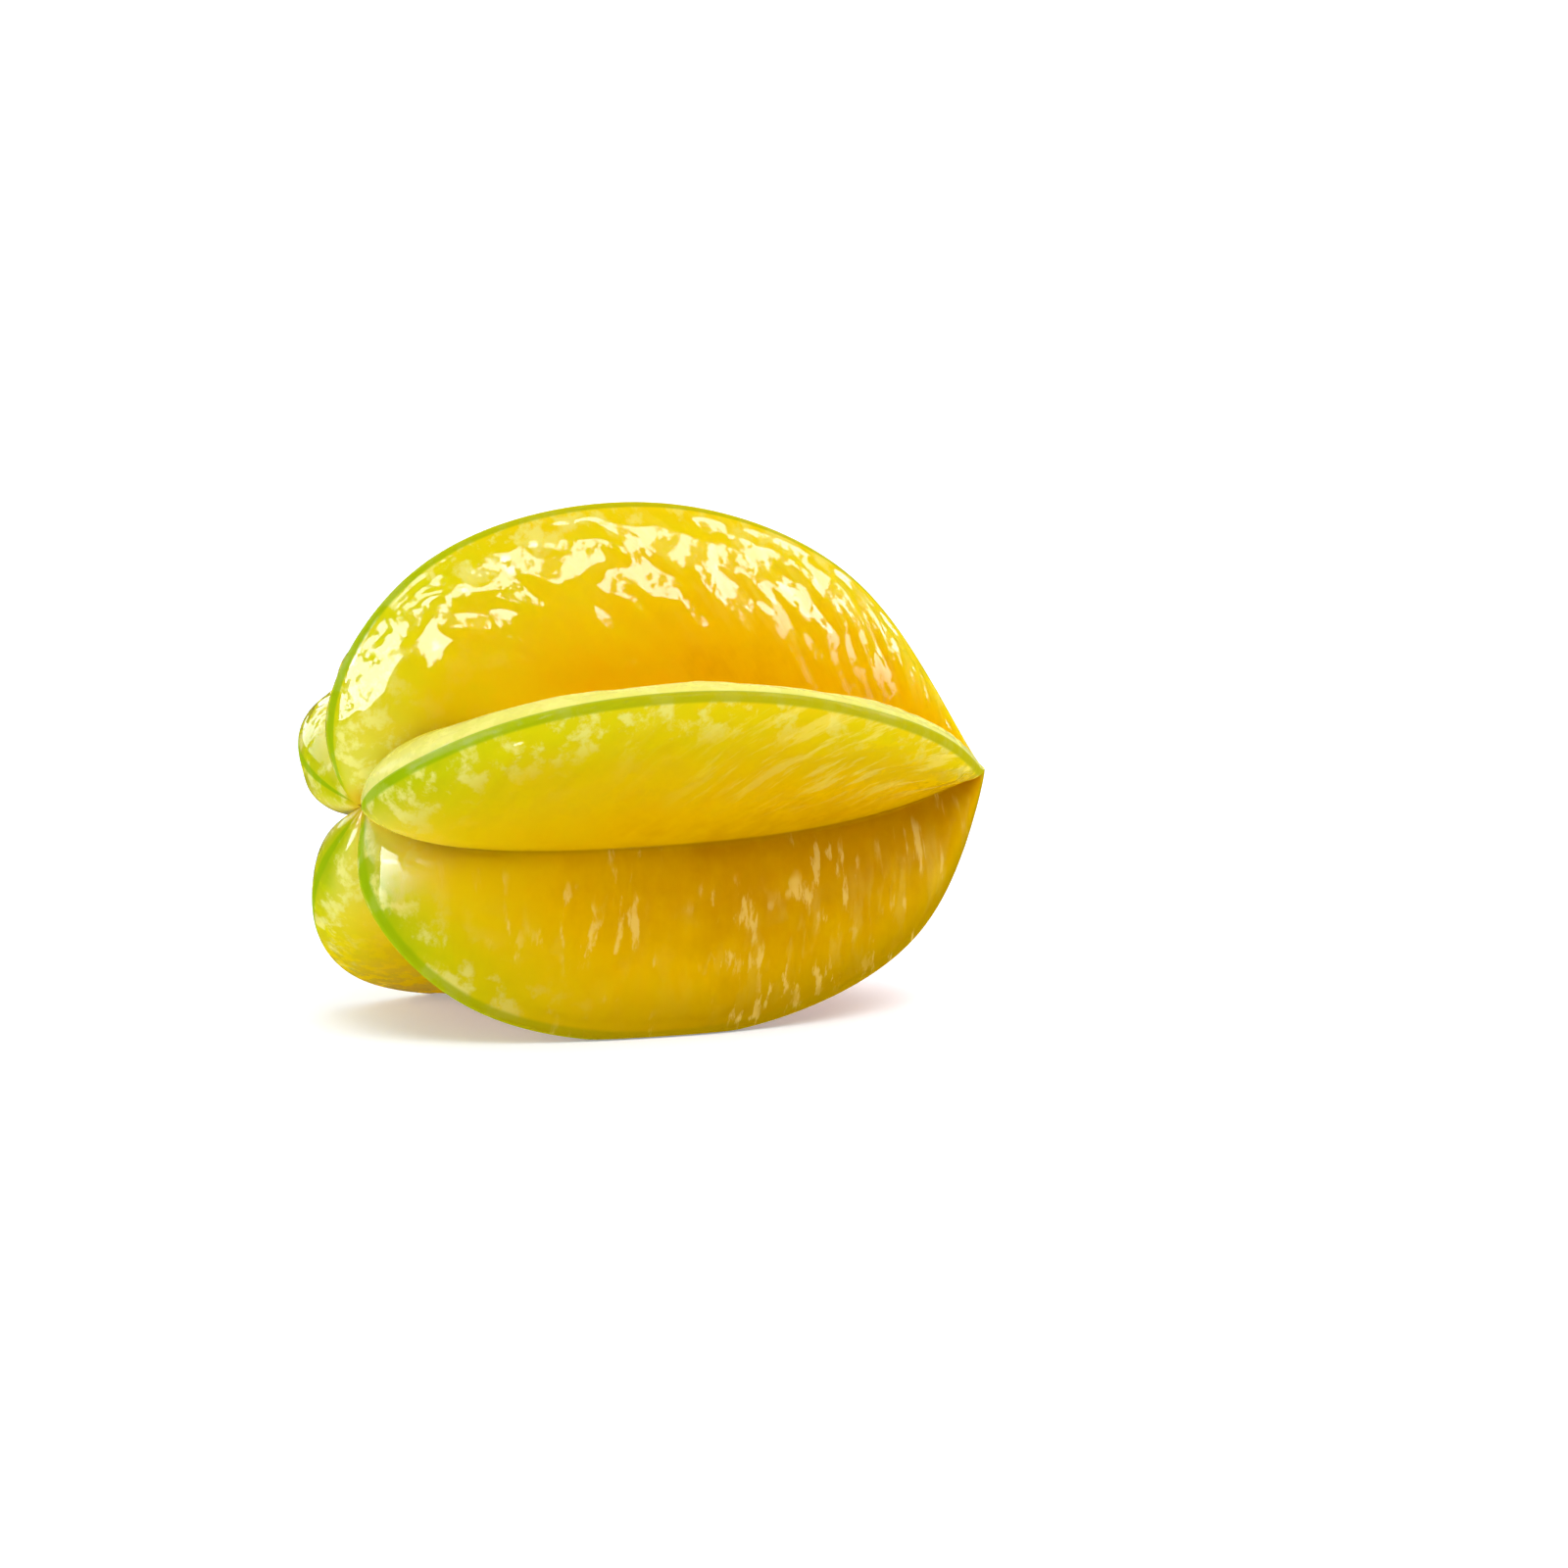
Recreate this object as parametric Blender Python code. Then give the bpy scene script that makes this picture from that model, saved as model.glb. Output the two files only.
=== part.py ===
"""A whole star fruit (carambola), lying on two of its five ribs.

The origin is on the floor below the middle of the bounding box. +X runs along the fruit from its
stem end to its nose, and +Z is up. The shape constants are millimetres and degrees.
"""

import bmesh
import bpy
import numpy as np

METRES_PER_MM = 0.001

# Lengthwise curves, as control points (place along the fruit, distance from its axis). Both start
# in the small pit at the stem end and meet again at the nose.
RIB_CREST = (
    (-47.0, 0.0),
    (-49.5, 4.5),
    (-52.5, 18.5),
    (-39.5, 40.5),
    (-10.0, 47.0),
    (14.5, 43.0),
    (36.0, 32.0),
    (48.5, 13.0),
    (56.0, 0.0),
)
FURROW_BOTTOM = (
    (-47.0, 0.0),
    (-44.5, 5.5),
    (-40.0, 15.5),
    (-25.5, 19.0),
    (-3.0, 19.5),
    (15.0, 18.0),
    (33.0, 13.0),
    (47.5, 6.0),
    (56.0, 0.0),
)

# Each rib: its angle about +X, measured from +Y towards +Z; the angles its crest sways by between
# the stem end and the nose; its reach against RIB_CREST; and how far it sits along the fruit.
RIBS = (
    {"angle": 17, "sway": (1, 4, 2, 1), "reach": 0.96, "slide": 1.0},
    {"angle": 100, "sway": (0, 5, -3, -1), "reach": 0.97, "slide": -3.0},
    {"angle": 162, "sway": (13, -12, -7, 18), "reach": 0.91, "slide": 0.5},
    {"angle": 235, "sway": (5, 7, -1, 1), "reach": 0.88, "slide": 2.0},
    {"angle": 313, "sway": (-5, 0, 6, 2), "reach": 1.07, "slide": 1.5},
)

# The narrow band along each crest.
KEEL_HALF_WIDTH = 0.9
KEEL_RISE = 0.35
KEEL_FULL_RADIUS = 12.0

# A flank leaves its crest opening by one angle and arrives in its furrow leaning by another. The
# pulls say how far each angle is kept, as a share of the flank's width.
CREST_OPENING = 45
CREST_PULL = 0.28
FURROW_LEAN = 45
FURROW_PULL = 0.38

# Towards the stem end the ribs swell into round lobes that almost touch.
LOBE_LENGTH = 0.45
LOBE_CREST_OPENING = 69
LOBE_CREST_PULL = 0.57
LOBE_FURROW_LEAN = 4
LOBE_FURROW_PULL = 0.31
LOBE_BLUNTNESS = 0.39
BLUNT_LENGTH = 0.625

# The weight of the fruit flattens the two crests that it lies on by this much.
REST_FLAT_DEPTH = 0.9

# The mesh: meridians of the starting sphere for one rib, those across half a keel, and its rings.
COLUMNS_PER_RIB = 16
KEEL_COLUMNS = 2
RINGS = 48


def smooth_curve(points, along):
    """The cubic B-spline that starts at the first control point and ends at the last."""
    points = np.asarray(points, float).reshape(len(points), -1)
    before = 2 * points[0] - points[1]
    after = 2 * points[-1] - points[-2]
    points = np.vstack([before, points, after])
    spans = len(points) - 3
    place = along * spans
    first = np.minimum(place.astype(int), spans - 1)
    f = (place - first)[:, None]
    shares = ((1 - f) ** 3, 3 * f**3 - 6 * f**2 + 4, 1 + 3 * f + 3 * f**2 - 3 * f**3, f**3)
    return sum(share * points[first + k] for k, share in enumerate(shares)) / 6


def towards(angle, length):
    """A step of this length at this angle, as (outward, sideways)."""
    return np.stack([np.cos(angle) * length, np.sin(angle) * length], axis=-1)


def half_rib(rib, side, half_furrow, down, keel, along):
    """Points on one side of a rib, before it is turned to its place about the axis.

    down runs from 0 at the keel's edge to 1 in the furrow, and keel from 0 on the crest to 1 at
    the keel's edge. half_furrow is the angle from the rib's middle to the furrow on this side.
    """
    crest = smooth_curve(RIB_CREST, along)
    furrow = smooth_curve(FURROW_BOTTOM, along)
    crest_place = crest[:, 0] + rib["slide"] * np.sqrt(np.maximum(np.sin(np.pi * along), 0))
    reach = crest[:, 1] * rib["reach"]
    sway = side * np.radians(smooth_curve(rib["sway"], along)[:, 0])
    lobe = np.clip(1 - along / LOBE_LENGTH, 0, 1) ** 2

    keel_size = np.minimum(1, reach / KEEL_FULL_RADIUS)
    start = towards(sway, reach)
    start += towards(sway + np.pi / 2, KEEL_HALF_WIDTH * keel_size * keel)
    start += towards(sway, KEEL_RISE * keel_size * (1 - keel**2))
    end = towards(half_furrow, furrow[:, 1])
    width = np.linalg.norm(end - start, axis=1)

    opening = np.radians(CREST_OPENING + (LOBE_CREST_OPENING - CREST_OPENING) * lobe)
    lean = np.radians(FURROW_LEAN + (LOBE_FURROW_LEAN - FURROW_LEAN) * lobe)
    crest_pull = CREST_PULL + (LOBE_CREST_PULL - CREST_PULL) * lobe
    furrow_pull = FURROW_PULL + (LOBE_FURROW_PULL - FURROW_PULL) * lobe
    near_crest = start + towards(sway + np.pi - opening, crest_pull * width)
    near_furrow = end + towards(half_furrow - lean, furrow_pull * width)

    s = down[:, None]
    flank = (1 - s) ** 3 * start + 3 * (1 - s) ** 2 * s * near_crest
    flank += 3 * (1 - s) * s**2 * near_furrow + s**3 * end

    bluntness = LOBE_BLUNTNESS + (1 - LOBE_BLUNTNESS) * np.clip(along / BLUNT_LENGTH, 0, 1)
    crest_share = np.maximum(np.cos(down * np.pi / 2), 0) ** bluntness
    place = furrow[:, 0] + (crest_place - furrow[:, 0]) * crest_share
    return place, flank[:, 0], side * flank[:, 1]


def fruit_surface(column, along):
    """Points of the skin. column counts round the fruit, from the furrow before the first rib."""
    points = np.zeros((len(column), 3))
    half_columns = COLUMNS_PER_RIB // 2
    angles = [rib["angle"] for rib in RIBS]
    for number, rib in enumerate(RIBS):
        gap_before = (rib["angle"] - angles[number - 1]) % 360
        gap_after = (angles[(number + 1) % len(RIBS)] - rib["angle"]) % 360
        from_crest = column - number * COLUMNS_PER_RIB - half_columns
        for side, gap in ((-1, gap_before), (1, gap_after)):
            here = (from_crest * side >= 0) & (from_crest * side <= half_columns)
            steps = np.abs(from_crest[here])
            down = np.maximum(steps - KEEL_COLUMNS, 0) / (half_columns - KEEL_COLUMNS)
            keel = np.minimum(steps / KEEL_COLUMNS, 1)
            place, outward, sideways = half_rib(
                rib, side, np.radians(gap / 2), down, keel, along[here]
            )
            turn = np.radians(rib["angle"])
            points[here, 0] = place
            points[here, 1] = outward * np.cos(turn) - sideways * np.sin(turn)
            points[here, 2] = outward * np.sin(turn) + sideways * np.cos(turn)
    return points


def laid_down(points):
    """Centres the fruit on the origin and rests its two lower crests flat on the floor."""
    middle = (points.min(axis=0) + points.max(axis=0)) / 2
    points = points - [middle[0], middle[1], points[:, 2].min() + REST_FLAT_DEPTH]
    points[:, 2] = np.maximum(points[:, 2], 0)
    return points


def make_fruit_mesh():
    """A sphere whose meridians become the crests, flanks and furrows."""
    columns = COLUMNS_PER_RIB * len(RIBS)
    shape = bmesh.new()
    bmesh.ops.create_uvsphere(shape, u_segments=columns, v_segments=RINGS, radius=1)
    ball = np.array([vert.co for vert in shape.verts], dtype=float)
    turned = np.arctan2(ball[:, 1], ball[:, 0]) / (2 * np.pi)
    column = np.round(turned * columns).astype(int) % columns
    along = np.round(np.arccos(np.clip(ball[:, 2], -1, 1)) / np.pi * RINGS) / RINGS
    points = laid_down(fruit_surface(column, along)) * METRES_PER_MM
    for vert, point in zip(shape.verts, points):
        vert.co = point
    bmesh.ops.recalc_face_normals(shape, faces=shape.faces)
    if shape.calc_volume(signed=True) < 0:
        bmesh.ops.reverse_faces(shape, faces=shape.faces)
    for face in shape.faces:
        face.smooth = True
    mesh = bpy.data.meshes.new("fruit")
    shape.to_mesh(mesh)
    shape.free()
    return mesh


def make_skin_material():
    skin = bpy.data.materials.new("fruit skin")
    skin.use_nodes = True
    shader = skin.node_tree.nodes["Principled BSDF"]
    shader.inputs["Base Color"].default_value = (0.86, 0.6, 0.03, 1)
    shader.inputs["Roughness"].default_value = 0.25
    shader.inputs["Metallic"].default_value = 0
    return skin


for old in list(bpy.data.objects):
    bpy.data.objects.remove(old, do_unlink=True)

star_fruit = bpy.data.collections.new("star fruit")
bpy.context.scene.collection.children.link(star_fruit)
fruit = bpy.data.objects.new("fruit", make_fruit_mesh())
fruit.data.materials.append(make_skin_material())
star_fruit.objects.link(fruit)
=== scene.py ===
"""A glossy, ripe star fruit lying on two of its ribs, on a white table under soft studio light."""

import math

import bmesh
import bpy
import numpy as np
from mathutils import Matrix, Vector, noise


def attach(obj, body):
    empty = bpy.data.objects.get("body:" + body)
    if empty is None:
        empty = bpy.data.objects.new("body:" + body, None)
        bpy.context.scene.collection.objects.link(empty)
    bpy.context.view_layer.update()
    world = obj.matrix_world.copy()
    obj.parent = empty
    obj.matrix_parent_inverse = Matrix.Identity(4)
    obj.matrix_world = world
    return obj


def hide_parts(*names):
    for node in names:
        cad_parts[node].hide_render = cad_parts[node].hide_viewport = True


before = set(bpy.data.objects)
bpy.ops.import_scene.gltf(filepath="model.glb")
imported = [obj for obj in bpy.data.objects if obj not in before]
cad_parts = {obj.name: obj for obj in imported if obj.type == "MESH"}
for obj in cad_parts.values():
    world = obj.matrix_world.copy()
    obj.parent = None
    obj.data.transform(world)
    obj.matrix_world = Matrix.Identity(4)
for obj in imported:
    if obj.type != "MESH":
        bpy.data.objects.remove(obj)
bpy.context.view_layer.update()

METRES_PER_MM = 0.001

# ---------------------------------------------------------------------------------------------
# The fruit's shape, in millimetres and degrees, as the CAD model has it
# ---------------------------------------------------------------------------------------------

RIB_CREST = (
    (-47.0, 0.0),
    (-49.5, 4.5),
    (-52.5, 18.5),
    (-39.5, 40.5),
    (-10.0, 47.0),
    (14.5, 43.0),
    (36.0, 32.0),
    (48.5, 13.0),
    (56.0, 0.0),
)
FURROW_BOTTOM = (
    (-47.0, 0.0),
    (-44.5, 5.5),
    (-40.0, 15.5),
    (-25.5, 19.0),
    (-3.0, 19.5),
    (15.0, 18.0),
    (33.0, 13.0),
    (47.5, 6.0),
    (56.0, 0.0),
)

# angle, sway, reach and slide place each rib. The rest is given for each rib's two sides:
#   grain   how far the ripples lean towards the nose for each millimetre down from the crest, at
#           the stem end and at the nose
#   ripe    how deep the yellow is at the stem's crest and furrow and at the nose's
#   shine   how much of the natural wax is left
#   rough   how bumpy the skin is
#   keel    how many millimetres of the keel's green there are
#   paleness_and_sheen   how pale the skin is near the crest: partly pale skin, partly a painted sheen
#   brown_and_shade   how brown the skin is at the crest and in the furrow, away from the stem: partly brown skin, partly painted shade
#   flecks_and_highlights  how strong the pale flecks are: partly pale flecks, partly painted
#   highlights
#   ripple_highlight   how strong the painted highlights along the nose's ripples are
RIBS = (
    {"angle": 17, "sway": (1, 4, 2, 1), "reach": 0.96, "slide": 1.0,
     "grain": ((0.5, 0.3), (0.9, 0.3)), "ripe": ((0.1, 0.35, 0.5, 0.8), (0.1, 0.3, 0.5, 0.8)),
     "shine": (0.8, 1.0), "rough": (1.0, 1.0), "keel": (0.7, 0.5), "paleness_and_sheen": (0.0, 0.0),
     "brown_and_shade": ((0.0, 0.05), (0.0, 0.05)), "flecks_and_highlights": (0.2, 0.2), "ripple_highlight": (0.6, 0.6)},
    {"angle": 100, "sway": (0, 5, -3, -1), "reach": 0.97, "slide": -3.0,
     "grain": ((0.6, 0.2), (1.5, 0.4)), "ripe": ((0.1, 0.3, 0.5, 0.8), (0.15, 0.3, 0.47, 0.77)),
     "shine": (1.0, 1.0), "rough": (1.0, 1.0), "keel": (1.2, 1.1), "paleness_and_sheen": (0.0, 0.0),
     "brown_and_shade": ((0.0, 0.05), (0.0, 0.0)), "flecks_and_highlights": (0.1, 0.0), "ripple_highlight": (0.6, 0.3)},
    {"angle": 162, "sway": (13, -12, -7, 18), "reach": 0.91, "slide": 0.5,
     "grain": ((0.4, 0.3), (-0.3, -1.8)),
     "ripe": ((0.08, 0.35, 0.3, 0.75), (0.05, 0.42, 0.42, 0.86)),
     "shine": (0.5, 0.8), "rough": (0.25, 1.0), "keel": (0.3, 1.5), "paleness_and_sheen": (0.8, 0.0),
     "brown_and_shade": ((0.0, 0.0), (0.0, 0.32)), "flecks_and_highlights": (0.0, 0.0), "ripple_highlight": (0.6, 1.0)},
    {"angle": 235, "sway": (5, 7, -1, 1), "reach": 0.88, "slide": 2.0,
     "grain": ((0.2, 0.1), (0.6, 0.3)), "ripe": ((-0.1, 0.42, 0.78, 1.0), (0.0, 0.4, 0.85, 1.0)),
     "shine": (0.02, 0.4), "rough": (0.8, 1.0), "keel": (1.8, 1.0), "paleness_and_sheen": (0.0, 0.0),
     "brown_and_shade": ((0.9, 0.36), (0.2, 0.15)), "flecks_and_highlights": (0.5, 0.3), "ripple_highlight": (0.3, 0.6)},
    {"angle": 313, "sway": (-5, 0, 6, 2), "reach": 1.07, "slide": 1.5,
     "grain": ((0.5, 0.3), (-0.4, -0.6)),
     "ripe": ((0.07, 0.33, 0.95, 1.0), (0.1, 0.35, 0.7, 0.95)),
     "shine": (0.7, 0.8), "rough": (0.15, 1.0), "keel": (0.6, 1.0), "paleness_and_sheen": (0.0, 0.0),
     "brown_and_shade": ((0.0, 0.0), (0.1, 0.1)), "flecks_and_highlights": (0.0, 0.2), "ripple_highlight": (0.6, 0.6)},
)

# The keel along each crest is this wide and high, and it tapers where the rib is lower than the
# full radius.
KEEL_HALF_WIDTH = 0.9
KEEL_RISE = 0.35
KEEL_FULL_RADIUS = 12.0

# A flank is a curve that leaves the crest and meets the furrow at these angles. The pulls are how
# far the angles hold, as shares of the flank's width.
CREST_OPENING = 45
CREST_PULL = 0.28
FURROW_LEAN = 45
FURROW_PULL = 0.38

# The same at the stem end, where the ribs are rounded lobes over this share of the length
LOBE_LENGTH = 0.45
LOBE_CREST_OPENING = 69
LOBE_CREST_PULL = 0.57
LOBE_FURROW_LEAN = 4
LOBE_FURROW_PULL = 0.31

# How blunt the lobes are, lengthwise, and over how much of the length that fades
LOBE_BLUNTNESS = 0.39
BLUNT_LENGTH = 0.625

REST_FLAT_DEPTH = 0.9

# Each kind of unevenness in the skin: its height, and how far apart it comes along the fruit and
# down a flank
SWELLS = (0.55, 13, 10)
DENTS = (0.55, 4.2, 5.5)
RIPPLES = (0.28, 1.9, 3.2)
CRUMPLE = (0.07, 1.0, 2.0)
NOSE_WRINKLES = (0.18, 1.6, 12)
BENDS = (2.5, 6, 6)

# A shallow groove runs beside each keel, this far from it.
GROOVE_DEPTH = 0.16
GROOVE_PLACE = 2.2
GROOVE_WIDTH = 0.9

COLUMNS_PER_RIB = 80
KEEL_COLUMNS = 6
RINGS = 240


def smooth_curve(points, along):
    """The cubic B-spline that starts at the first control point and ends at the last."""
    points = np.asarray(points, float).reshape(len(points), -1)
    before = 2 * points[0] - points[1]
    after = 2 * points[-1] - points[-2]
    points = np.vstack([before, points, after])
    spans = len(points) - 3
    place = along * spans
    first = np.minimum(place.astype(int), spans - 1)
    f = (place - first)[:, None]
    shares = ((1 - f) ** 3, 3 * f**3 - 6 * f**2 + 4, 1 + 3 * f + 3 * f**2 - 3 * f**3, f**3)
    return sum(share * points[first + k] for k, share in enumerate(shares)) / 6


def towards(angle, length):
    """A step of this length at this angle, as (outward, sideways)."""
    return np.stack([np.cos(angle) * length, np.sin(angle) * length], axis=-1)


def half_rib(rib, side, half_furrow, down, keel, along):
    """Points on one side of a rib before it is turned to its place, and the flank's width there.

    down runs from 0 at the keel's edge to 1 in the furrow, and keel from 0 on the crest to 1 at
    the keel's edge. half_furrow is the angle from the rib's middle to the furrow on this side.
    """
    crest = smooth_curve(RIB_CREST, along)
    furrow = smooth_curve(FURROW_BOTTOM, along)
    crest_place = crest[:, 0] + rib["slide"] * np.sqrt(np.maximum(np.sin(np.pi * along), 0))
    reach = crest[:, 1] * rib["reach"]
    sway = side * np.radians(smooth_curve(rib["sway"], along)[:, 0])
    lobe = np.clip(1 - along / LOBE_LENGTH, 0, 1) ** 2

    keel_size = np.minimum(1, reach / KEEL_FULL_RADIUS)
    start = towards(sway, reach)
    start += towards(sway + np.pi / 2, KEEL_HALF_WIDTH * keel_size * keel)
    start += towards(sway, KEEL_RISE * keel_size * (1 - keel**2))
    end = towards(half_furrow, furrow[:, 1])
    width = np.linalg.norm(end - start, axis=1)

    opening = np.radians(CREST_OPENING + (LOBE_CREST_OPENING - CREST_OPENING) * lobe)
    lean = np.radians(FURROW_LEAN + (LOBE_FURROW_LEAN - FURROW_LEAN) * lobe)
    crest_pull = CREST_PULL + (LOBE_CREST_PULL - CREST_PULL) * lobe
    furrow_pull = FURROW_PULL + (LOBE_FURROW_PULL - FURROW_PULL) * lobe
    near_crest = start + towards(sway + np.pi - opening, crest_pull * width)
    near_furrow = end + towards(half_furrow - lean, furrow_pull * width)

    s = down[:, None]
    flank = (1 - s) ** 3 * start + 3 * (1 - s) ** 2 * s * near_crest
    flank += 3 * (1 - s) * s**2 * near_furrow + s**3 * end

    bluntness = LOBE_BLUNTNESS + (1 - LOBE_BLUNTNESS) * np.clip(along / BLUNT_LENGTH, 0, 1)
    crest_share = np.maximum(np.cos(down * np.pi / 2), 0) ** bluntness
    place = furrow[:, 0] + (crest_place - furrow[:, 0]) * crest_share
    return place, flank[:, 0], side * flank[:, 1], width


def fruit_surface(column, along):
    """The skin's points, and for each its rib, side, place down the flank and flank's width."""
    points = np.zeros((len(column), 3))
    where = {name: np.zeros(len(column)) for name in ("rib", "side", "down", "keel", "width")}
    half_columns = COLUMNS_PER_RIB // 2
    angles = [rib["angle"] for rib in RIBS]
    for number, rib in enumerate(RIBS):
        gap_before = (rib["angle"] - angles[number - 1]) % 360
        gap_after = (angles[(number + 1) % len(RIBS)] - rib["angle"]) % 360
        from_crest = column - number * COLUMNS_PER_RIB - half_columns
        for side, gap in ((-1, gap_before), (1, gap_after)):
            here = (from_crest * side >= 0) & (from_crest * side <= half_columns)
            steps = np.abs(from_crest[here])
            down = np.maximum(steps - KEEL_COLUMNS, 0) / (half_columns - KEEL_COLUMNS)
            keel = np.minimum(steps / KEEL_COLUMNS, 1)
            place, outward, sideways, width = half_rib(
                rib, side, np.radians(gap / 2), down, keel, along[here]
            )
            turn = np.radians(rib["angle"])
            points[here, 0] = place
            points[here, 1] = outward * np.cos(turn) - sideways * np.sin(turn)
            points[here, 2] = outward * np.sin(turn) + sideways * np.cos(turn)
            where["rib"][here] = number
            where["side"][here] = side
            where["down"][here] = down
            where["keel"][here] = keel
            where["width"][here] = width
    return points, where


def smooth_step(value, low, high):
    share = np.clip((value - low) / (high - low), 0, 1)
    return share * share * (3 - 2 * share)


def noise_at(*axes):
    """Soft noise from about -1 to 1 at each point of these three coordinates."""
    return np.array([noise.noise(point) for point in np.stack(axes, axis=-1).tolist()])


def of_side(name, where):
    """What RIBS gives under this name for each point's side of its rib."""
    values = np.array([rib[name] for rib in RIBS])
    return values[where["rib"].astype(int), (where["side"] > 0).astype(int)]


def across_grain(points, where, along):
    """Place along the fruit, with the ripples' lean taken out."""
    ends = of_side("grain", where)
    lean = ends[:, 0] + (ends[:, 1] - ends[:, 0]) * along
    return points[:, 0] - lean * where["down"] * where["width"]


def unevenness(kind, place, flank, seed):
    height, spacing_along, spacing_down = kind
    return height * noise_at(place / spacing_along, flank / spacing_down, seed)


def relief(points, where, along):
    """How far the skin stands proud, in millimetres: swells, dents, ripples and wrinkles."""
    flank = where["down"] * where["width"]
    from_furrow = (1 - where["down"]) * where["width"]
    across = across_grain(points, where, along)
    seed = where["rib"] * 7.3 + where["side"] * 2.1
    bent = across + unevenness(BENDS, points[:, 0], flank, seed + 12)
    height = unevenness(DENTS, bent, flank, seed)
    height += unevenness(RIPPLES, bent, flank, seed + 3)
    height += unevenness(CRUMPLE, bent, flank, seed + 6)
    height *= of_side("rough", where) * (1 - 0.7 * smooth_step(where["down"], 0.45, 0.8))
    height += unevenness(SWELLS, points[:, 0], flank, seed + 9)
    nose = smooth_step(along, 0.5, 0.85)
    height += unevenness(NOSE_WRINKLES, across, flank, seed + 5) * nose
    height *= smooth_step(flank, 1, 4) * smooth_step(from_furrow, 0, 6)
    groove = np.exp(-(((flank - GROOVE_PLACE) / GROOVE_WIDTH) ** 2))
    groove *= smooth_step(where["width"], 8, 16)
    return height - GROOVE_DEPTH * groove


def make_skin_mesh():
    """A sphere whose meridians become the crests, flanks and furrows, with the skin's relief."""
    columns = COLUMNS_PER_RIB * len(RIBS)
    shape = bmesh.new()
    bmesh.ops.create_uvsphere(shape, u_segments=columns, v_segments=RINGS, radius=1)
    ball = np.array([vert.co for vert in shape.verts], dtype=float)
    turned = np.arctan2(ball[:, 1], ball[:, 0]) / (2 * np.pi)
    column = np.round(turned * columns).astype(int) % columns
    along = np.round(np.arccos(np.clip(ball[:, 2], -1, 1)) / np.pi * RINGS) / RINGS
    points, where = fruit_surface(column, along)
    middle = (points.min(axis=0) + points.max(axis=0)) / 2
    drop = points[:, 2].min() + REST_FLAT_DEPTH
    for vert, point in zip(shape.verts, points):
        vert.co = point
    bmesh.ops.recalc_face_normals(shape, faces=shape.faces)
    if shape.calc_volume(signed=True) < 0:
        bmesh.ops.reverse_faces(shape, faces=shape.faces)
    shape.normal_update()
    normals = np.array([vert.normal for vert in shape.verts], dtype=float)
    height = relief(points, where, along)
    skin = points + normals * height[:, None] - [middle[0], middle[1], drop]
    skin[:, 2] = np.maximum(skin[:, 2], 0)
    for vert, point in zip(shape.verts, skin * METRES_PER_MM):
        vert.co = point
    for face in shape.faces:
        face.smooth = True
    mesh = bpy.data.meshes.new("skin")
    shape.to_mesh(mesh)
    shape.free()
    return mesh, points, where, along


def store(mesh, name, values):
    layer = mesh.attributes.new(name, "FLOAT", "POINT")
    layer.data.foreach_set("value", np.asarray(values, dtype=np.float32))


# ---------------------------------------------------------------------------------------------
# Finishes
# ---------------------------------------------------------------------------------------------

# The skin's colour as it ripens. A new ramp has two stops, so the first two here are its ends and
# the others are added in between.
RIPENING = (
    (0.0, (0.36, 0.47, 0.003)),
    # The amber end is darker than the skin: partly amber skin, partly painted shade
    (1.0, (0.60, 0.26, 0.0)),
    (0.12, (0.52, 0.54, 0.003)),
    (0.25, (0.64, 0.585, 0.003)),
    (0.5, (0.80, 0.56, 0.002)),
    (0.75, (0.84, 0.48, 0.0)),
)
# Pale skin mixed with a painted sheen
PALE_AND_PAINTED_SHEEN = (0.80, 0.77, 0.2, 1)
# Painted highlight along the nose's ripples
PAINTED_RIPPLE_HIGHLIGHT = (0.95, 0.80, 0.16, 1)
KEEL_GREEN = (0.27, 0.42, 0.002, 1)
KEEL_OLIVE = (0.40, 0.38, 0.004, 1)
# Brown skin mixed with painted shade
BROWN_AND_PAINTED_SHADE = (0.38, 0.22, 0.0, 1)
# Pale flecks mixed with painted highlights
PALE_FLECK_AND_HIGHLIGHT = (0.85, 0.62, 0.15, 1)
# Painted shade for the deepest part of the furrow
FURROW_PAINTED_SHADE = (0.4, 0.17, 0.0, 1)
STEM_AMBER = (0.66, 0.42, 0.01, 1)
SCAR_BROWN = (0.2, 0.09, 0.015, 1)

# The bump's heights are in metres.
STREAK_HEIGHT = 0.00004
CRUMPLE_HEIGHT = 0.00003

WHITE = (0.92, 0.92, 0.92, 1)


class Amount:
    """A shader value. Arithmetic on it adds Math nodes to its material."""

    def __init__(self, finish, socket):
        self.finish = finish
        self.socket = socket

    def math(self, operation, *values, clamp=False):
        settings = {"operation": operation, "use_clamp": clamp}
        return self.finish.add("ShaderNodeMath", settings, dict(enumerate(values)))

    def __add__(self, other):
        return self.math("ADD", self, other)

    def __sub__(self, other):
        return self.math("SUBTRACT", self, other)

    def __rsub__(self, other):
        return self.math("SUBTRACT", other, self)

    def __mul__(self, other):
        return self.math("MULTIPLY", self, other)

    __radd__ = __add__
    __rmul__ = __mul__

    def held(self):
        """This value kept between 0 and 1."""
        return self.math("ADD", self, 0, clamp=True)


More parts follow.
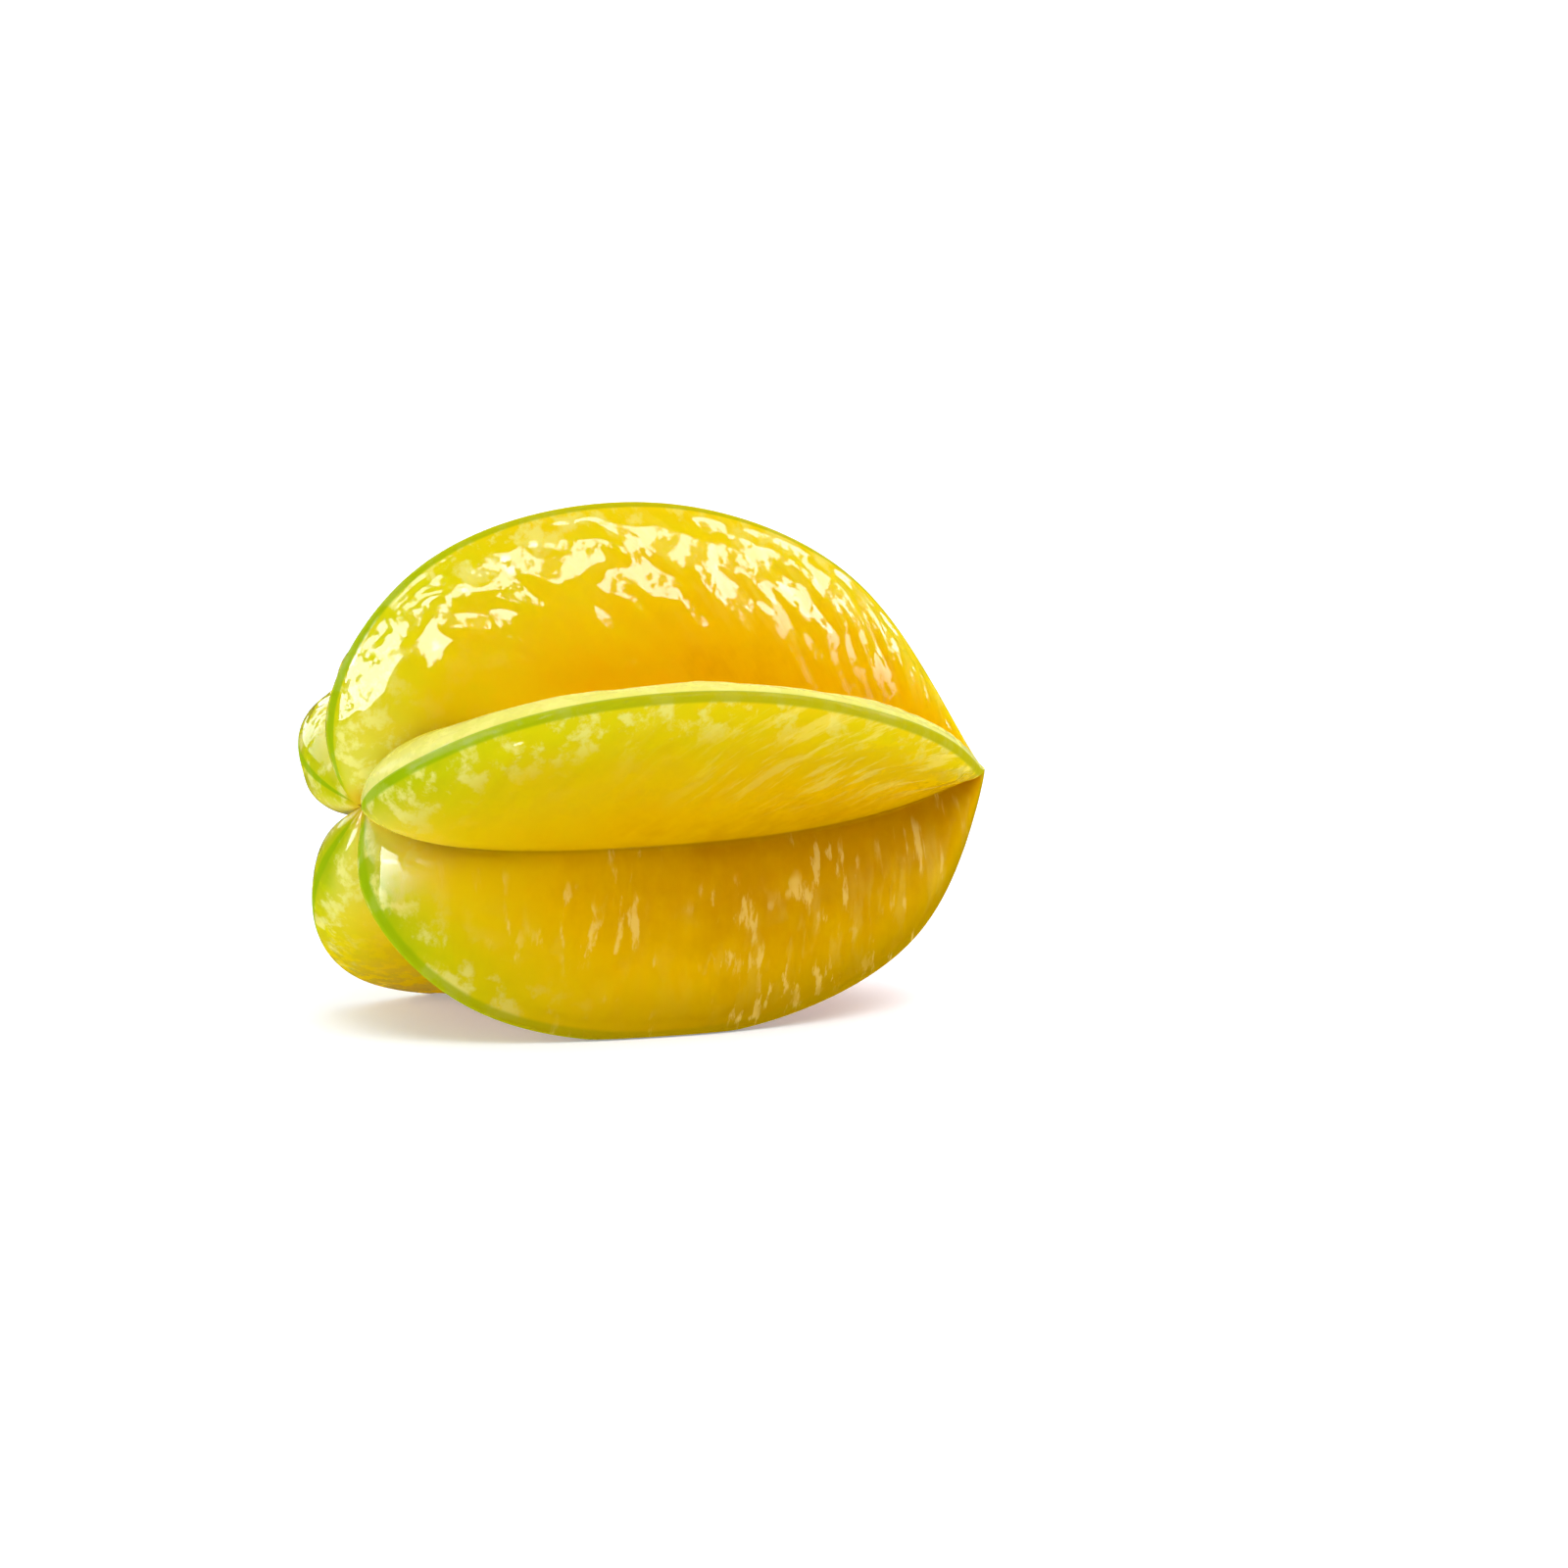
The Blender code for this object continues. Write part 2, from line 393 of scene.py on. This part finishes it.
class Finish:
    """A material under construction."""

    def __init__(self, name):
        self.material = bpy.data.materials.new(name)
        self.material.use_nodes = True
        self.tree = self.material.node_tree
        self.shader = self.tree.nodes["Principled BSDF"]

    def fill(self, socket, value):
        if isinstance(value, Amount):
            self.tree.links.new(value.socket, socket)
        else:
            socket.default_value = value

    def add(self, kind, settings=None, values=None, output=0):
        """A node with these settings and socket values, and its output as an Amount."""
        node = self.tree.nodes.new(kind)
        settings = dict(settings or {})
        stops = settings.pop("stops", ())
        for name, value in settings.items():
            setattr(node, name, value)
        for number, (place, colour) in enumerate(stops):
            elements = node.color_ramp.elements
            stop = elements[number] if number < 2 else elements.new(place)
            stop.position = place
            stop.color = (*colour, 1)
        for name, value in (values or {}).items():
            self.fill(node.inputs[name], value)
        return Amount(self, node.outputs[output])

    def attribute(self, name):
        return self.add("ShaderNodeAttribute", {"attribute_name": name}, output="Fac")

    def between(self, value, low, high):
        """0 below low, 1 above high and smooth in between."""
        settings = {"interpolation_type": "SMOOTHSTEP"}
        values = {"Value": value, "From Min": low, "From Max": high}
        return self.add("ShaderNodeMapRange", settings, values)

    def mix(self, share, first, second):
        """One colour turning into another as share goes from 0 to 1."""
        settings = {"data_type": "RGBA"}
        return self.add("ShaderNodeMix", settings, {0: share, 6: first, 7: second}, output=2)

    def noise(self, place, scale, detail=2.0, roughness=0.5):
        values = {"Vector": place, "Scale": scale, "Detail": detail, "Roughness": roughness}
        return self.add("ShaderNodeTexNoise", None, values)

    def set(self, **values):
        for name, value in values.items():
            self.fill(self.shader.inputs[name.replace("_", " ")], value)


def skin_colour(finish, spot, grain, keel):
    """The skin's colour. keel is 1 on the crest's green and 0 away from it."""
    along = finish.attribute("along")
    down = finish.attribute("down")
    flank = finish.attribute("flank")
    ripe = finish.attribute("ripe")

    blotches = finish.noise(spot, 75, detail=3.0) - 0.5
    mottling = finish.noise(spot, 260, detail=3.0) - 0.5
    threads = finish.noise(grain, 6, detail=3.0, roughness=0.6) - 0.5
    depth = ripe + blotches * 0.22 + mottling * 0.18 + threads * 0.08
    colour = finish.add("ShaderNodeValToRGB", {"stops": RIPENING}, {"Fac": depth})

    # Pale patches near the crest and the pale skin of each side: partly pale skin, partly a painted
    # sheen
    patches = finish.between(finish.noise(spot, 260, detail=5.0, roughness=0.6), 0.49, 0.63)
    patches = patches * (1 - finish.between(ripe, 0.25, 0.65))
    patches = patches * (0.12 + 0.65 * (1 - finish.between(flank, 3, 11)))
    pale = (finish.attribute("paleness_and_sheen") + patches).held()
    colour = finish.mix(pale, colour, PALE_AND_PAINTED_SHEEN)

    # Painted highlights along the ripples near the nose
    ripple_highlight = finish.between(finish.noise(grain, 3.2, detail=4.0, roughness=0.6), 0.5, 0.62)
    ripple_highlight = ripple_highlight * finish.between(along, 0.42, 0.66) * (1 - finish.between(down, 0.4, 0.85))
    colour = finish.mix(ripple_highlight * finish.attribute("ripple_highlight") * 0.45, colour, PAINTED_RIPPLE_HIGHLIGHT)

    keel_colour = finish.mix(finish.between(along, 0.25, 0.55), KEEL_GREEN, KEEL_OLIVE)
    colour = finish.mix(keel * 0.85, colour, keel_colour)
    # Brown skin and painted shade at the crests of the lower ribs and in the furrows
    colour = finish.mix(finish.attribute("brown_and_shade"), colour, BROWN_AND_PAINTED_SHADE)

    # Pale flecks, partly painted highlights
    flecks_and_highlights = finish.between(finish.noise(grain, 4.2, detail=5.0, roughness=0.6), 0.54, 0.62)
    clusters = finish.between(finish.noise(spot, 90, detail=3.0), 0.45, 0.6)
    share = flecks_and_highlights * clusters * finish.attribute("flecks_and_highlights")
    colour = finish.mix(share, colour, PALE_FLECK_AND_HIGHLIGHT)

    # Painted shade along the deepest part of each furrow
    furrow_shade = finish.between(down, 0.97, 1.0)
    colour = finish.mix(furrow_shade * 0.35, colour, FURROW_PAINTED_SHADE)
    stem = 1 - finish.between(along, 0.03, 0.11)
    colour = finish.mix(stem * 0.75, colour, STEM_AMBER)
    scar = 1 - finish.between(along, 0.004, 0.016)
    return finish.mix(scar, colour, SCAR_BROWN)


def skin_wax(finish, spot, keel):
    """How much of the wax is left: a film with ragged gaps, fuller on the lobes."""
    lobes = 1 - finish.between(finish.attribute("along"), 0.22, 0.36)
    film = finish.noise(spot, 300, detail=5.0, roughness=0.68) + lobes * 0.06
    wax = finish.attribute("shine") * (0.05 + 0.95 * finish.between(film, 0.465, 0.49))
    return wax * (1 - keel * 0.85)


def skin_bump(finish, spot, grain):
    streaks = finish.noise(grain, 9)
    crumple = finish.noise(spot, 520, detail=3.0, roughness=0.6)
    height = streaks * STREAK_HEIGHT + crumple * CRUMPLE_HEIGHT
    values = {"Strength": 0.6, "Distance": 1.0, "Height": height}
    return finish.add("ShaderNodeBump", None, values)


def skin_finish():
    finish = Finish("waxy fruit skin")
    spot = finish.add("ShaderNodeTexCoord", output="Object")
    grain = finish.add("ShaderNodeUVMap", {"uv_map": "grain"})
    keel = 1 - finish.between(finish.attribute("edge"), 0.75, 1.2)
    finish.set(
        Base_Color=skin_colour(finish, spot, grain, keel),
        Roughness=0.35,
        Normal=skin_bump(finish, spot, grain),
        Specular_IOR_Level=0.0,
        Coat_Weight=skin_wax(finish, spot, keel),
        Coat_Roughness=0.03,
        Coat_IOR=1.3,
        Subsurface_Weight=0.25,
        Subsurface_Radius=(1.0, 0.55, 0.05),
        Subsurface_Scale=0.006,
    )
    return finish.material


def white_finish(name, glow, tint):
    """Matt white that also glows in this tint, so that it stays white away from the lights."""
    finish = Finish(name)
    finish.set(
        Base_Color=WHITE,
        Roughness=0.9,
        Specular_IOR_Level=0.0,
        Emission_Color=(*tint, 1),
        Emission_Strength=glow,
    )
    return finish.material


# ---------------------------------------------------------------------------------------------
# The fruit
# ---------------------------------------------------------------------------------------------

# One unit of the grain's UV map is this many millimetres along the fruit and down a flank. Each rib
# has its own stretch of the map.
GRAIN_ALONG = 10
GRAIN_DOWN = 30
GRAIN_PER_RIB = 20


def ripeness(where, along):
    """How deep the yellow is: 0 lime green, 0.5 yellow, 1 amber."""
    stem_crest, stem_furrow, nose_crest, nose_furrow = of_side("ripe", where).T
    down = smooth_step(where["down"], 0.05, 0.85)
    stem = stem_crest + (stem_furrow - stem_crest) * down
    nose = nose_crest + (nose_furrow - nose_crest) * down
    return stem + (nose - stem) * smooth_step(along, 0.15, 0.6)


def wax(where, along):
    """How glossy the skin is. The lobes at the stem end have kept all their wax."""
    shine = of_side("shine", where) * (1 - 0.8 * smooth_step(where["down"], 0.55, 0.8))
    return shine + (1 - shine) * (1 - smooth_step(along, 0.18, 0.28))


def paleness_and_sheen(where, along):
    """How pale the skin is, partly pale skin and partly a painted sheen. The lobes at the stem end
    are paler low down.
    """
    lobe = (1 - smooth_step(along, 0.14, 0.32)) * smooth_step(where["down"], 0.1, 0.5)
    return of_side("paleness_and_sheen", where) * (1 - smooth_step(where["down"], 0.2, 0.75)) + 0.3 * lobe


# How brown the skin is: partly brown skin, partly painted shade at the crests and in the furrows
def brownness_and_shade(where, along):
    crest, furrow = of_side("brown_and_shade", where).T
    crest = crest * smooth_step(along, 0.2, 0.6)
    furrow = furrow * smooth_step(along, 0.0, 0.42)
    return crest + (furrow - crest) * smooth_step(where["down"], 0.0, 0.4)


def keel_share(where):
    """How far each point is from the crest, as a share of the width of the keel's green."""
    from_crest = KEEL_HALF_WIDTH * where["keel"] + where["down"] * where["width"]
    return from_crest / of_side("keel", where)


def make_skin():
    mesh, points, where, along = make_skin_mesh()
    store(mesh, "along", along)
    store(mesh, "down", where["down"])
    store(mesh, "flank", where["down"] * where["width"])
    store(mesh, "ripe", ripeness(where, along))
    store(mesh, "shine", wax(where, along))
    store(mesh, "paleness_and_sheen", paleness_and_sheen(where, along))
    store(mesh, "brown_and_shade", brownness_and_shade(where, along))
    # Pale flecks, partly painted highlights
    store(mesh, "flecks_and_highlights", of_side("flecks_and_highlights", where) * smooth_step(along, 0.15, 0.4))
    # Painted highlights along the nose's ripples
    store(mesh, "ripple_highlight", of_side("ripple_highlight", where))
    store(mesh, "edge", keel_share(where))
    across = across_grain(points, where, along) / GRAIN_ALONG + where["rib"] * GRAIN_PER_RIB
    down = where["down"] * where["width"] * where["side"] / GRAIN_DOWN
    layer = mesh.uv_layers.new(name="grain")
    loops = np.empty(len(mesh.loops), dtype=np.int32)
    mesh.loops.foreach_get("vertex_index", loops)
    layer.data.foreach_set("uv", np.stack([across[loops], down[loops]], -1).ravel())
    mesh.materials.append(skin_finish())
    skin = bpy.data.objects.new("skin", mesh)
    bpy.context.scene.collection.objects.link(skin)
    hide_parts("fruit")
    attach(skin, "root")


# ---------------------------------------------------------------------------------------------
# Table, lights and camera
# ---------------------------------------------------------------------------------------------

# The camera looks from this many degrees round from -Y and above the table, at a point just above
# the middle of the fruit's length.
AZIMUTH = -26.97
ELEVATION = 7.07
AIM = (0.01596, -0.01081, 0.03417)
CAMERA_DISTANCE = 1.1171
LENS_MM = 173
SENSOR_MM = 36

TABLE_HALF_SIZE = 20
TABLE_DROP = 0.0002
TABLE_GLOW = 0.22
TABLE_TINT = (0.8, 0.94, 1.35)
BACKDROP_HALF_SIZE = 2.0
BACKDROP_AWAY = 1.3
BACKDROP_UP = 1.9
BACKDROP_GLOW = 1.0
PURE_WHITE = (1, 1, 1)

WORLD_STRENGTH = 0.06

# Wide patches of sky: name, turn and height in degrees as from_camera has them, degrees across,
# and strength. They give no reflections.
SKIES = (
    ("sky", 35, 62, 60, 1.65),
    ("dome", 0, 90, 150, 0.7),
)

# Soft boxes: name, what they give, turn and height in degrees as from_camera has them, distance,
# width and depth in metres, and watts
SOFT_BOXES = (
    ("fill", "diffuse", 25, 45, 0.8, 0.5, 0.4, 1.2),
    ("left fill", "diffuse", -65, 14, 0.8, 0.5, 0.4, 1.4),
    ("right gloss", "gloss", 73, 21, 0.8, 1.25, 0.32, 28),
    ("low right gloss", "gloss", 87, 4, 0.8, 0.3, 0.24, 3),
    ("side gloss", "gloss", -68, 26, 0.8, 0.3, 0.3, 7),
    ("high left gloss", "gloss", -8, 42, 0.8, 0.4, 0.26, 7),
    ("middle gloss", "gloss", 28, 6, 0.8, 0.25, 0.3, 6),
    ("left gloss", "gloss", -33, 4, 0.5, 0.9, 0.36, 30),
    ("back gloss", "gloss", -128, 24, 0.8, 1.25, 0.45, 5.3),
)
BOX_AIM_HEIGHT = 0.04
GLOSS_COLOUR = (0.85, 0.93, 1.0)


def make_stage(name, half_size, place, finish):
    """A square sheet, put where its matrix says."""
    shape = bmesh.new()
    bmesh.ops.create_grid(shape, x_segments=1, y_segments=1, size=half_size)
    bmesh.ops.transform(shape, matrix=place, verts=shape.verts)
    mesh = bpy.data.meshes.new(name)
    shape.to_mesh(mesh)
    shape.free()
    mesh.materials.append(finish)
    sheet = bpy.data.objects.new(name, mesh)
    bpy.context.scene.collection.objects.link(sheet)
    sheet.visible_glossy = False
    sheet.visible_shadow = False


def lay_table_and_backdrop():
    finish = white_finish("white table", TABLE_GLOW, TABLE_TINT)
    make_stage("table", TABLE_HALF_SIZE, Matrix.Translation((0, 0, -TABLE_DROP)), finish)
    away = Matrix.Rotation(math.radians(AZIMUTH), 4, "Z")
    stand = Matrix.Rotation(math.radians(90), 4, "X")
    place = away @ Matrix.Translation((0, BACKDROP_AWAY, BACKDROP_UP)) @ stand
    finish = white_finish("white backdrop", BACKDROP_GLOW, PURE_WHITE)
    make_stage("backdrop", BACKDROP_HALF_SIZE, place, finish)


def from_camera(turn, height):
    """A step one metre long, this many degrees round to the camera's right and above the table."""
    heading = math.radians(turn + AZIMUTH)
    up = math.radians(height)
    level = math.cos(up)
    return Vector((math.sin(heading) * level, -math.cos(heading) * level, math.sin(up)))


def hang_lamp(name, light, away):
    """A lamp that shines back along this direction."""
    lamp = bpy.data.objects.new(name, light)
    bpy.context.scene.collection.objects.link(lamp)
    lamp.rotation_euler = away.to_track_quat("Z", "Y").to_euler()
    return lamp


def soft_sky(name, turn, height, spread, strength):
    light = bpy.data.lights.new(name, "SUN")
    light.energy = strength
    light.angle = math.radians(spread)
    lamp = hang_lamp(name, light, from_camera(turn, height))
    lamp.visible_glossy = False


def soft_box(name, gives, turn, height, distance, width, depth, watts):
    """A soft box facing the fruit, that gives either diffuse light or glossy reflections."""
    light = bpy.data.lights.new(name, "AREA")
    light.shape = "RECTANGLE"
    light.size = width
    light.size_y = depth
    light.energy = watts
    if gives == "gloss":
        light.color = GLOSS_COLOUR
    away = from_camera(turn, height)
    lamp = hang_lamp(name, light, away)
    lamp.location = away * distance + Vector((0, 0, BOX_AIM_HEIGHT))
    lamp.visible_diffuse = gives == "diffuse"
    lamp.visible_glossy = gives == "gloss"
    lamp.visible_transmission = gives == "diffuse"


def light_the_studio():
    world = bpy.data.worlds.new("studio")
    bpy.context.scene.world = world
    world.use_nodes = True
    background = world.node_tree.nodes["Background"].inputs
    background["Color"].default_value = (*PURE_WHITE, 1)
    background["Strength"].default_value = WORLD_STRENGTH
    for sky in SKIES:
        soft_sky(*sky)
    for box in SOFT_BOXES:
        soft_box(*box)


def place_camera():
    azimuth = math.radians(AZIMUTH)
    back = from_camera(0, ELEVATION)
    right = Vector((math.cos(azimuth), math.sin(azimuth), 0))
    up = back.cross(right)
    camera = bpy.data.cameras.new("camera")
    camera.sensor_width = SENSOR_MM
    camera.lens = LENS_MM
    camera.clip_end = 200
    seat = bpy.data.objects.new("camera", camera)
    bpy.context.scene.collection.objects.link(seat)
    seat.location = Vector(AIM) + back * CAMERA_DISTANCE
    seat.rotation_mode = "QUATERNION"
    turn = Matrix((right, up, back)).transposed()
    seat.rotation_quaternion = turn.to_quaternion()
    bpy.context.scene.camera = seat


make_skin()
lay_table_and_backdrop()
light_the_studio()
place_camera()

bpy.context.scene.view_settings.view_transform = "Standard"
